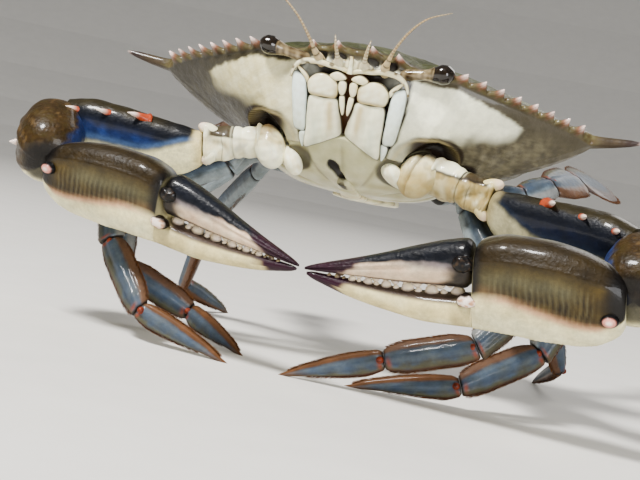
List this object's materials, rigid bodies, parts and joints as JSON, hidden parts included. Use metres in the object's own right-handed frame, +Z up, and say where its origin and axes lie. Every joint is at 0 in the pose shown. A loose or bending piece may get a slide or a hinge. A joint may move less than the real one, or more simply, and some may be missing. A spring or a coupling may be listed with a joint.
{
  "type": "blue crab",
  "caption": "Life-size still model of a male blue crab standing on its walking legs, with both claws folded in front of its mouth.",
  "frame": {"origin": "on the floor, under the middle of the whole animal's box", "axes": "+Z up, -Y the way the crab faces, +X to the crab's left"},
  "size_m": [0.1833, 0.135, 0.0979],
  "materials": {
    "shell": "hard olive-grey shell with fine granules, mottled dark and cream towards the edge, wet sheen",
    "belly_plate": "smooth cream-white shell with faint green and tan shading",
    "mouth_parts": "cream shell with tan streaks, dark seams and small hairs",
    "eyes": "glossy black-brown cornea on a mottled stalk",
    "claw_base": "cream-white shell with olive patches",
    "claw_arm": "glossy navy and bright blue shell, olive above, orange spines with white tips",
    "claw_hand": "olive-brown shell with fine upright streaks over a cream-white lower side, orange ridge between",
    "claw_finger": "navy upper edge, pink-tan side and purple tip, wet sheen",
    "walking_legs": "grey-blue shell with orange-brown hair fringes and orange-red joints",
    "swimming_legs": "grey-blue shell, paler paddles with a hair fringe"
  },
  "bodies": {
    "root": {"abdomen": "belly_plate", "antenna_left": "mouth_parts", "antenna_right": "mouth_parts", "brow": "mouth_parts", "carapace": "shell", "claw_arm_left": "claw_arm", "claw_arm_right": "claw_arm", "claw_base_left": "claw_base", "claw_base_right": "claw_base", "claw_finger_left": "claw_finger", "claw_finger_right": "claw_finger", "claw_palm_left": "claw_hand", "claw_palm_right": "claw_hand", "claw_wrist_left": "claw_hand", "claw_wrist_right": "claw_hand", "eye_left": "eyes", "eye_right": "eyes", "jaw_left": "mouth_parts", "jaw_right": "mouth_parts", "leg2_left_base": "walking_legs", "leg2_left_carpus": "walking_legs", "leg2_left_dactyl": "walking_legs", "leg2_left_merus": "walking_legs", "leg2_left_propodus": "walking_legs", "leg2_right_base": "walking_legs", "leg2_right_carpus": "walking_legs", "leg2_right_dactyl": "walking_legs", "leg2_right_merus": "walking_legs", "leg2_right_propodus": "walking_legs", "leg3_left_base": "walking_legs", "leg3_left_carpus": "walking_legs", "leg3_left_dactyl": "walking_legs", "leg3_left_merus": "walking_legs", "leg3_left_propodus": "walking_legs", "leg3_right_base": "walking_legs", "leg3_right_carpus": "walking_legs", "leg3_right_dactyl": "walking_legs", "leg3_right_merus": "walking_legs", "leg3_right_propodus": "walking_legs", "leg4_left_base": "walking_legs", "leg4_left_carpus": "walking_legs", "leg4_left_dactyl": "walking_legs", "leg4_left_merus": "walking_legs", "leg4_left_propodus": "walking_legs", "leg4_right_base": "walking_legs", "leg4_right_carpus": "walking_legs", "leg4_right_dactyl": "walking_legs", "leg4_right_merus": "walking_legs", "leg4_right_propodus": "walking_legs", "sternum": "belly_plate", "swimmer_left_base": "swimming_legs", "swimmer_left_carpus": "swimming_legs", "swimmer_left_merus": "swimming_legs", "swimmer_left_paddle": "swimming_legs", "swimmer_left_propodus": "swimming_legs", "swimmer_right_base": "swimming_legs", "swimmer_right_carpus": "swimming_legs", "swimmer_right_merus": "swimming_legs", "swimmer_right_paddle": "swimming_legs", "swimmer_right_propodus": "swimming_legs"}
  },
  "joints": []
}
